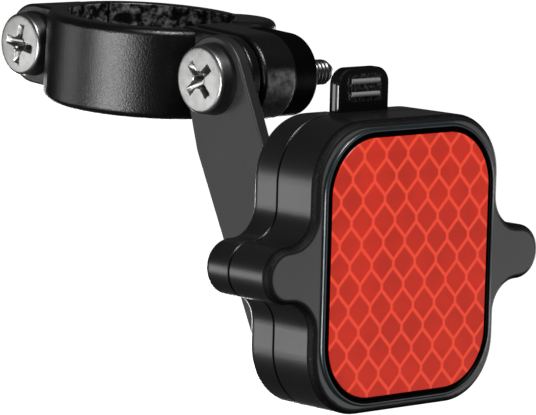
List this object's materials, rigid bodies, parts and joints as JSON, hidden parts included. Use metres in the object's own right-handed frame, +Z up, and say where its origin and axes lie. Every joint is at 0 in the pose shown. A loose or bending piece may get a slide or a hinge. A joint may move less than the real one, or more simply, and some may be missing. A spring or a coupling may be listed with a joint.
{
  "type": "bicycle reflector",
  "caption": "Rear bicycle reflector: red prismatic sheet in a black eared housing with a release tab, hung by a tilting arm from a screwed two-part seat-post clamp.",
  "frame": {"origin": "centre of the clamp's bore at half the ring's height", "axes": "+Z up along the seat post, X along the screws with their heads at -X, the reflector faces -Y"},
  "size_m": [0.0532, 0.0851, 0.049],
  "materials": {
    "clamp_plastic": "fine grain",
    "arm_plastic": "fine grain",
    "housing_plastic": "satin",
    "lever_plastic": "gloss",
    "reflector_red": "gloss over a net of prisms",
    "screw_steel": "nickel plated",
    "nut_steel": "zinc plated"
  },
  "bodies": {
    "clamp": {"clamp_near_half": "clamp_plastic", "clamp_far_half": "clamp_plastic", "clamp_screw": "screw_steel", "clamp_nut": "nut_steel", "pivot_screw": "screw_steel", "pivot_nut": "nut_steel"},
    "head": {"arm": "arm_plastic", "front_shell": "housing_plastic", "rear_shell": "housing_plastic", "reflector_sheet": "reflector_red", "lever_pin": "nut_steel", "ear_screw_left": "nut_steel", "ear_screw_right": "nut_steel"},
    "lever": {"release_lever": "lever_plastic"}
  },
  "joints": [
    {"name": "arm_tilt", "type": "hinge", "parent": "clamp", "child": "head", "pos_m": [0, -0.022, 0.0007], "axis": [1, 0, 0], "range_deg": [-90, 20]},
    {"name": "release_press", "type": "hinge", "parent": "head", "child": "lever", "pos_m": [0, -0.04792, -0.00899], "axis": [-1, 0, 0], "range_deg": [0, 8], "stiffness_Nm_per_rad": 0.05, "springref_deg": -5.73}
  ]
}
